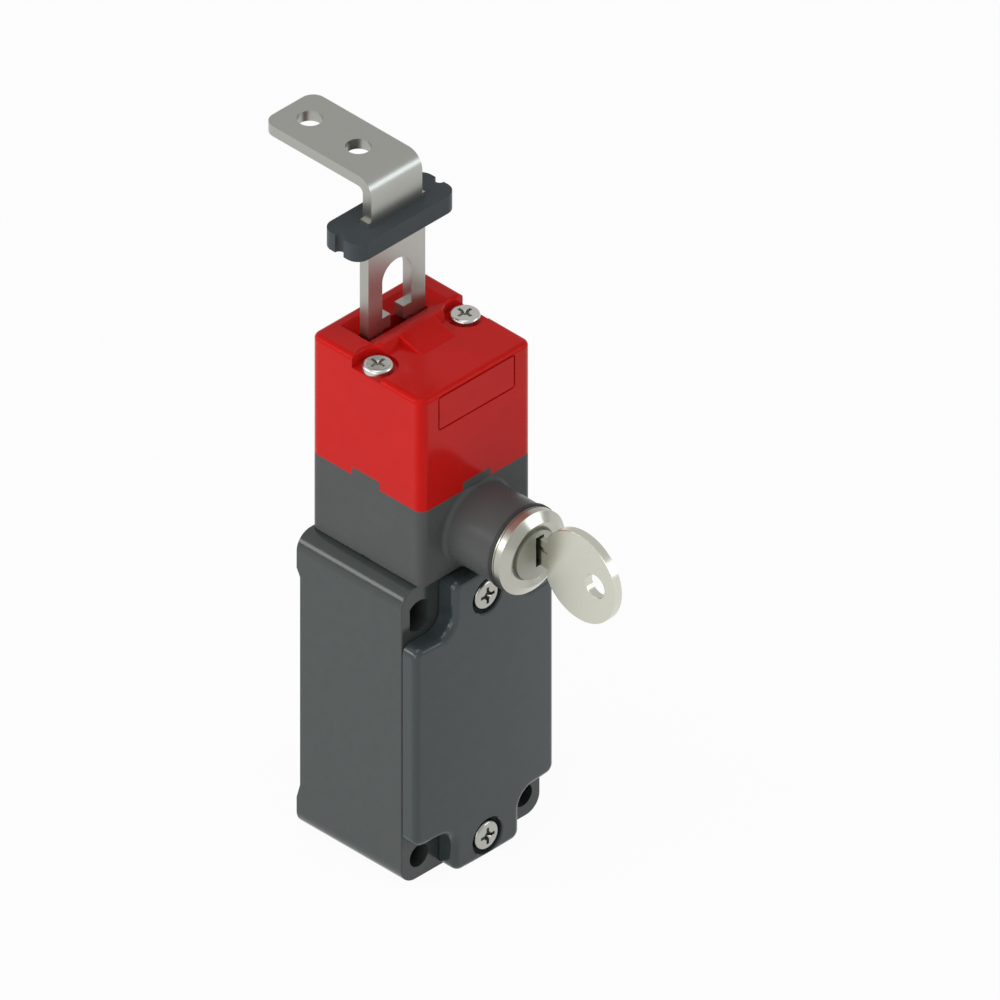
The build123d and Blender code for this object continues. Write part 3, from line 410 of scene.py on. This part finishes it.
@dataclass(frozen=True)
class TurnedMetal(Finish):
    """Plated metal with the fine rings that a lathe leaves about the lock's axis, which runs along Y."""

    shades: Pair = (0.96, 1.0)
    axis: Triple = (0.0, 0.0, 82.5)
    cloud: Pattern = Pattern(0.35)
    wear: float = 0.05
    pitch: float = 0.5
    ring: float = 0.0012 * MM
    ring_strength: float = 0.3
    ground: float = 0.0
    ground_radius: float = 9.3
    ground_blur: float = 0.1

    def surface(self, shader: Shader, place: Value) -> dict:
        """Rings in the relief, and a rim that was ground rougher than the rest."""
        centred = shader.node("ShaderNodeVectorMath", {"operation": "SUBTRACT"}, {0: place, 1: self.axis})
        flat = shader.stretched(centred, (1.0, 0.0, 1.0))
        radius = shader.node("ShaderNodeVectorMath", {"operation": "LENGTH"}, {0: flat}, output="Value")
        depth = shader.node("ShaderNodeSeparateXYZ", {}, {0: centred}, output="Y")
        wave = shader.node("ShaderNodeMath", {"operation": "SINE"}, {0: (radius + depth) * (2 * pi / self.pitch)})
        cloud = shader.noise(place, self.cloud)
        rim = shader.ramp(radius, self.ground_radius - self.ground_blur, self.ground_radius + self.ground_blur)
        return {"Base Color": self.tone(shader, cloud),
                "Metallic": 1.0,
                "Roughness": self.sheen.value + swing(cloud, self.wear) + rim * self.ground,
                "Normal": shader.bump(wave * 0.5 + 0.5, self.ring_strength, self.ring)}


@dataclass(frozen=True)
class Rubber(Finish):
    """Black moulded rubber with a faint bloom."""

    sheen: Sheen = Sheen.DULL
    span: Pair = (0.3, 0.8)
    shades: Pair = (1.0, 2.2)
    bloom: Pattern = Pattern(0.8, 4.0)
    wear: float = 0.2
    depth: float = 0.02 * MM
    depth_strength: float = 0.4

    def surface(self, shader: Shader, place: Value) -> dict:
        """The bloom lightens, roughens and raises the rubber."""
        bloom = shader.noise(place, self.bloom)
        return {"Base Color": self.tone(shader, bloom),
                "Roughness": self.sheen.value + swing(bloom, self.wear),
                "Normal": shader.bump(bloom, self.depth_strength, self.depth)}


@dataclass
class Palette:
    """Every finish of the switch, built once and shared."""

    casing: Finish = PowderCoat("casing_paint", (0.050, 0.060, 0.058), Sheen.POLISHED)
    # The cover's paint is the casing's paint made a little bluer and darker: painted cool light from the front.
    cover: Finish = PowderCoat("cover_paint_painted_cool_light", (0.044, 0.056, 0.059), Sheen.POLISHED)
    red: Finish = MouldedPlastic("red_plastic", (0.605, 0.011, 0.009), Sheen.POLISHED, depth=0.002 * MM,
                                 tint=(1.0, 0.20, 0.17), shine=0.8, ior=1.22)
    grey: Finish = MouldedPlastic("grey_plastic", (0.098, 0.101, 0.100), Sheen.SEMI_GLOSS, depth=0.004 * MM,
                                  shine=0.10)
    collar: Finish = MouldedPlastic("collar_plastic", (0.060, 0.071, 0.078))
    acetal: Finish = MouldedPlastic("white_plastic", (0.72, 0.71, 0.67), Sheen.SEMI_GLOSS)
    block: Finish = MouldedPlastic("block_plastic", (0.03, 0.03, 0.032))
    carrier: Finish = MouldedPlastic("red_inner_plastic", (0.45, 0.03, 0.025))
    stainless: Finish = BrushedMetal("stainless", (0.42, 0.418, 0.39), Sheen.SATIN)
    zinc: Finish = BrushedMetal("zinc_steel", (0.60, 0.595, 0.56), way=Way.X)
    chromate: Finish = BrushedMetal("chromate_steel", (0.42, 0.415, 0.385), Sheen.GLOSS, way=Way.X)
    spring: Finish = BrushedMetal("spring_steel", (0.45, 0.45, 0.46))
    key: Finish = BrushedMetal("key_steel", (0.66, 0.66, 0.576), shades=(0.992, 1.008), way=Way.Y, wear=0.015,
                               scratch=0.0001 * MM)
    brass: Finish = BrushedMetal("silvered_brass", (0.70, 0.62, 0.38), way=Way.Y)
    nickel: Finish = TurnedMetal("lock_nickel", (0.48, 0.475, 0.42), Sheen.GLOSS, ground=0.10)
    plug: Finish = TurnedMetal("plug_nickel", (0.38, 0.38, 0.335), Sheen.MATT)
    rubber: Finish = Rubber("black_rubber", (0.018, 0.018, 0.019))
    made: dict[str, bpy.types.Material] = field(default_factory=dict)

    def get(self, finish: Finish) -> bpy.types.Material:
        """The material of a finish, built on first use.

        Args:
            finish: one of the palette's finishes.

        Returns:
            Its material.
        """
        if finish.name not in self.made:
            self.made[finish.name] = finish.material()
        return self.made[finish.name]

    def dress(self, node: str, finish: Finish) -> None:
        """Gives a carried-over node its finish.

        Args:
            node: the node's name.
            finish: one of the palette's finishes.
        """
        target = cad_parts[node]
        target.data.materials.clear()
        target.data.materials.append(self.get(finish))
        LOG.info("dressed %s in %s", node, finish.name)


# New pieces

class Modeller(Nodes):
    """Builds one geometry tree with named inputs and turns what it makes into a plain mesh."""

    def __init__(self, name: str, sizes: dict[str, float]) -> None:
        """Starts a tree.

        Args:
            name: the name of the piece that it makes.
            sizes: the tree's named inputs with their values, lengths in metres.
        """
        super().__init__(bpy.data.node_groups.new(name, "GeometryNodeTree"))
        self.name = name
        self.sizes = sizes
        self.tree.interface.new_socket("Geometry", in_out="OUTPUT", socket_type="NodeSocketGeometry")
        self.keys = {size: self.tree.interface.new_socket(size, in_out="INPUT", socket_type="NodeSocketFloat")
                     for size in sizes}
        self.source = self.tree.nodes.new("NodeGroupInput")

    def size(self, name: str) -> Value:
        """One of the named inputs."""
        return Value(self, self.source.outputs[name])

    def piece(self, geometry: Value, material: bpy.types.Material, body: str) -> bpy.types.Object:
        """Closes the tree and makes the finished piece.

        Args:
            geometry: what the tree has made.
            material: the piece's material.
            body: the body that carries the piece.

        Returns:
            The piece, a plain mesh.
        """
        real = self.node("GeometryNodeRealizeInstances", {}, {0: geometry})
        dressed = self.node("GeometryNodeSetMaterial", {}, {"Geometry": real, "Material": material})
        self.close("NodeGroupOutput", dressed)
        carrier = bpy.data.objects.new(f"{self.name}_carrier", bpy.data.meshes.new(f"{self.name}_carrier"))
        bpy.context.scene.collection.objects.link(carrier)
        modifier = carrier.modifiers.new("shape", "NODES")
        modifier.node_group = self.tree
        for size, value in self.sizes.items():
            modifier[self.keys[size].identifier] = value
        evaluated = carrier.evaluated_get(bpy.context.evaluated_depsgraph_get())
        mesh = bpy.data.meshes.new_from_object(evaluated)
        carrier.modifiers.remove(modifier)
        bpy.data.objects.remove(carrier)
        mesh.name = self.name
        made = bpy.data.objects.new(self.name, mesh)
        bpy.context.scene.collection.objects.link(made)
        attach(made, body)
        LOG.info("made %s with %d faces", self.name, len(mesh.polygons))
        return made


@dataclass(frozen=True)
class Coil:
    """Wire or thread ridge wound about an upright axis through the origin."""

    name: str
    slot: str
    radius: float
    wire: float
    pitch: float
    low: float
    high: float
    sides: int = 3
    steps: int = 48

    def build(self, material: bpy.types.Material, body: str) -> bpy.types.Object:
        """Winds the coil.

        Args:
            material: the coil's material.
            body: the body that carries it.

        Returns:
            The coil.
        """
        height = self.high - self.low
        maker = Modeller(self.name, {"Radius": self.radius, "Wire": self.wire, "Turns": height / self.pitch,
                                     "Height": height, "Low": self.low})
        helix = maker.node("GeometryNodeCurveSpiral", {}, {
            "Resolution": self.steps, "Rotations": maker.size("Turns"), "Start Radius": maker.size("Radius"),
            "End Radius": maker.size("Radius"), "Height": maker.size("Height")})
        upright = maker.node("GeometryNodeSetCurveNormal", {"mode": "Z_UP"}, {"Curve": helix})
        profile = maker.node("GeometryNodeCurvePrimitiveCircle", {},
                             {"Resolution": self.sides, "Radius": maker.size("Wire")})
        wound = maker.node("GeometryNodeCurveToMesh", {},
                           {"Curve": upright, "Profile Curve": profile, "Fill Caps": True})
        lift = maker.node("ShaderNodeCombineXYZ", {}, {"Z": maker.size("Low")})
        placed = maker.node("GeometryNodeTransform", {}, {"Geometry": wound, "Translation": lift})
        made = maker.piece(placed, material, body)
        return made


# The object's sub-assemblies

@dataclass
class Assembly(ABC):
    """A sub-assembly of the switch."""

    palette: Palette

    @abstractmethod
    def finishes(self) -> dict[str, Finish]:
        """The finish of each of the sub-assembly's nodes."""

    def build(self) -> None:
        """Dresses the sub-assembly's nodes."""
        for node, finish in self.finishes().items():
            self.palette.dress(node, finish)


@dataclass
class Body(Assembly):
    """Casing, cover and what they hold."""

    entry_thread: Coil = Coil("entry_thread", "casing_paint", radius=9.15 * MM, wire=0.42 * MM, pitch=1.5 * MM,
                              low=0.9 * MM, high=8.4 * MM)

    def finishes(self) -> dict[str, Finish]:
        """Paint outside, the cover's copy of it bluer for painted cool light; black block with brass contacts inside.
        """
        shades = self.palette
        return {"body_casing": shades.casing, "front_cover": shades.cover, "cover_gasket": shades.rubber,
                "plunger_seal": shades.rubber, "terminal_screws": shades.zinc, "block_screws": shades.zinc,
                "earth_screw": shades.zinc, "cover_screws": shades.chromate, "contact_bridges": shades.brass,
                "fixed_contacts": shades.brass, "contact_block": shades.block, "contact_carrier": shades.carrier}

    def build(self) -> None:
        """Dresses the body and cuts the thread of its cable entry."""
        super().build()
        self.entry_thread.build(self.palette.get(self.palette.casing), "switch")


@dataclass
class Head(Assembly):
    """Red cap, grey base and the mechanism between them."""

    spring: Coil = Coil("return_spring", "spring_steel", radius=3.2 * MM, wire=0.35 * MM, pitch=1.42 * MM,
                        low=75.85 * MM, high=82.95 * MM, sides=14)

    def finishes(self) -> dict[str, Finish]:
        """Red and grey shells, white drum and plunger, steel for the rest."""
        shades = self.palette
        return {"head_cap": shades.red, "head_base": shades.grey, "head_screws": shades.zinc,
                "cam_axle": shades.stainless, "cam_drum": shades.acetal, "locking_cam": shades.stainless,
                "head_plunger": shades.acetal, "plunger_spring": shades.spring}

    def build(self) -> None:
        """Dresses the head and winds its spring."""
        super().build()
        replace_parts(self.spring.build(self.palette.get(self.palette.spring), "switch"), "plunger_spring")


@dataclass
class Lock(Assembly):
    """Cylinder lock with its key."""

    def finishes(self) -> dict[str, Finish]:
        """Nickel where it was turned, steel where it was stamped."""
        shades = self.palette
        return {"lock_barrel": shades.nickel, "lock_plug": shades.plug, "bezel_ring": shades.rubber,
                "lock_nut": shades.zinc, "lock_tail": shades.zinc, "lock_bolt": shades.stainless,
                "lock_key": shades.key}


@dataclass
class Actuator(Assembly):
    """Bent fork and its collar."""

    def finishes(self) -> dict[str, Finish]:
        """Stainless strip, dark plastic collar."""
        return {"actuator_blade": self.palette.stainless, "actuator_collar": self.palette.collar}


# The studio

@dataclass(frozen=True)
class Lamp:
    """A rectangular soft box: its place, its width and height, its power in watts and its colour."""

    name: str
    place: Triple
    size: Pair
    power: float
    tint: Triple = (1.0, 1.0, 1.0)

    def hang(self, aim: Vector) -> None:
        """Hangs the lamp and turns it.

        Args:
            aim: the point that it lights.
        """
        data = bpy.data.lights.new(self.name, "AREA")
        data.shape = "RECTANGLE"
        data.size, data.size_y = self.size
        data.energy = self.power
        data.color = self.tint
        lamp = bpy.data.objects.new(self.name, data)
        lamp.location = self.place
        lamp.rotation_euler = (aim - Vector(self.place)).to_track_quat("-Z", "Y").to_euler()
        bpy.context.scene.collection.objects.link(lamp)


@dataclass
class Studio:
    """Pale floor, soft lamps, white surroundings and the isometric camera."""

    frame_width: float = 204.1 * MM
    aim: Vector = field(default_factory=lambda: Vector((11.36, -11.36, 79.675)) * MM)
    back: Vector = field(default_factory=lambda: Vector((-1.0, -1.0, 1.0)).normalized())
    distance: float = 1.2
    clip: Pair = (0.01, 20.0)
    floor_size: float = 12.0
    floor_grey: float = 0.8
    floor_white: float = 0.95
    sky: float = 0.38
    mirrored_sky: float = 0.5
    lamps: tuple[Lamp, ...] = (
        Lamp("key_lamp", (-1.02, 0.66, 0.53), (1.0, 0.36), 5.0),
        Lamp("side_lamp", (-1.2, -0.38, 0.30), (0.9, 0.9), 4.6),
        Lamp("top_lamp", (-0.32, -0.08, 1.35), (0.8, 0.8), 3.1),
        Lamp("front_lamp", (0.78, -1.04, 0.54), (0.7, 0.5), 2.8, (0.86, 0.96, 1.0)),
    )

    def floor(self) -> None:
        """A wide floor that takes the object's shadow and shows white to the camera and in metal."""
        half = self.floor_size / 2
        mesh = bpy.data.meshes.new("studio_floor")
        mesh.from_pydata([(-half, -half, 0), (half, -half, 0), (half, half, 0), (-half, half, 0)], [], [(0, 1, 2, 3)])
        floor = bpy.data.objects.new("studio_floor", mesh)
        bpy.context.scene.collection.objects.link(floor)
        material = bpy.data.materials.new("studio_floor")
        shader = Shader(material)
        seen = shader.capped(shader.ray("Is Camera Ray") + shader.ray("Is Glossy Ray")
                             + shader.ray("Is Transmission Ray"))
        matt = shader.node("ShaderNodeBsdfDiffuse", {}, {"Color": (*[self.floor_grey] * 3, OPAQUE)})
        glow = shader.node("ShaderNodeEmission", {}, {"Color": WHITE, "Strength": 1.0})
        shader.close("ShaderNodeOutputMaterial", shader.choice(seen * self.floor_white, matt, glow))
        mesh.materials.append(material)

    def surroundings(self) -> None:
        """A soft sky, white where the camera sees it and paler in reflections."""
        world = bpy.data.worlds.new("studio_sky")
        bpy.context.scene.world = world
        shader = Shader(world)
        soft = shader.node("ShaderNodeBackground", {}, {"Color": WHITE, "Strength": self.sky})
        white = shader.node("ShaderNodeBackground", {}, {"Color": WHITE, "Strength": 1.0})
        seen = shader.capped(shader.ray("Is Glossy Ray") * self.mirrored_sky + shader.ray("Is Camera Ray"))
        shader.close("ShaderNodeOutputWorld", shader.choice(seen, soft, white))

    def camera(self) -> None:
        """Orthographic camera at the isometric angle."""
        data = bpy.data.cameras.new("studio_camera")
        data.type = "ORTHO"
        data.ortho_scale = self.frame_width
        data.clip_start, data.clip_end = self.clip
        camera = bpy.data.objects.new("studio_camera", data)
        camera.location = self.aim + self.back * self.distance
        camera.rotation_euler = (-self.back).to_track_quat("-Z", "Y").to_euler()
        bpy.context.scene.collection.objects.link(camera)
        bpy.context.scene.camera = camera

    def build(self) -> None:
        """Sets up the whole studio."""
        bpy.context.scene.view_settings.view_transform = "Standard"
        self.floor()
        self.surroundings()
        for lamp in self.lamps:
            lamp.hang(self.aim)
        self.camera()


def main() -> None:
    """Builds the switch, part by part, and its studio."""
    logging.basicConfig(level=logging.INFO, format="%(message)s")
    palette = Palette()
    for assembly in (Body(palette), Head(palette), Lock(palette), Actuator(palette)):
        assembly.build()
    Studio().build()


if __name__ == "__main__":
    main()
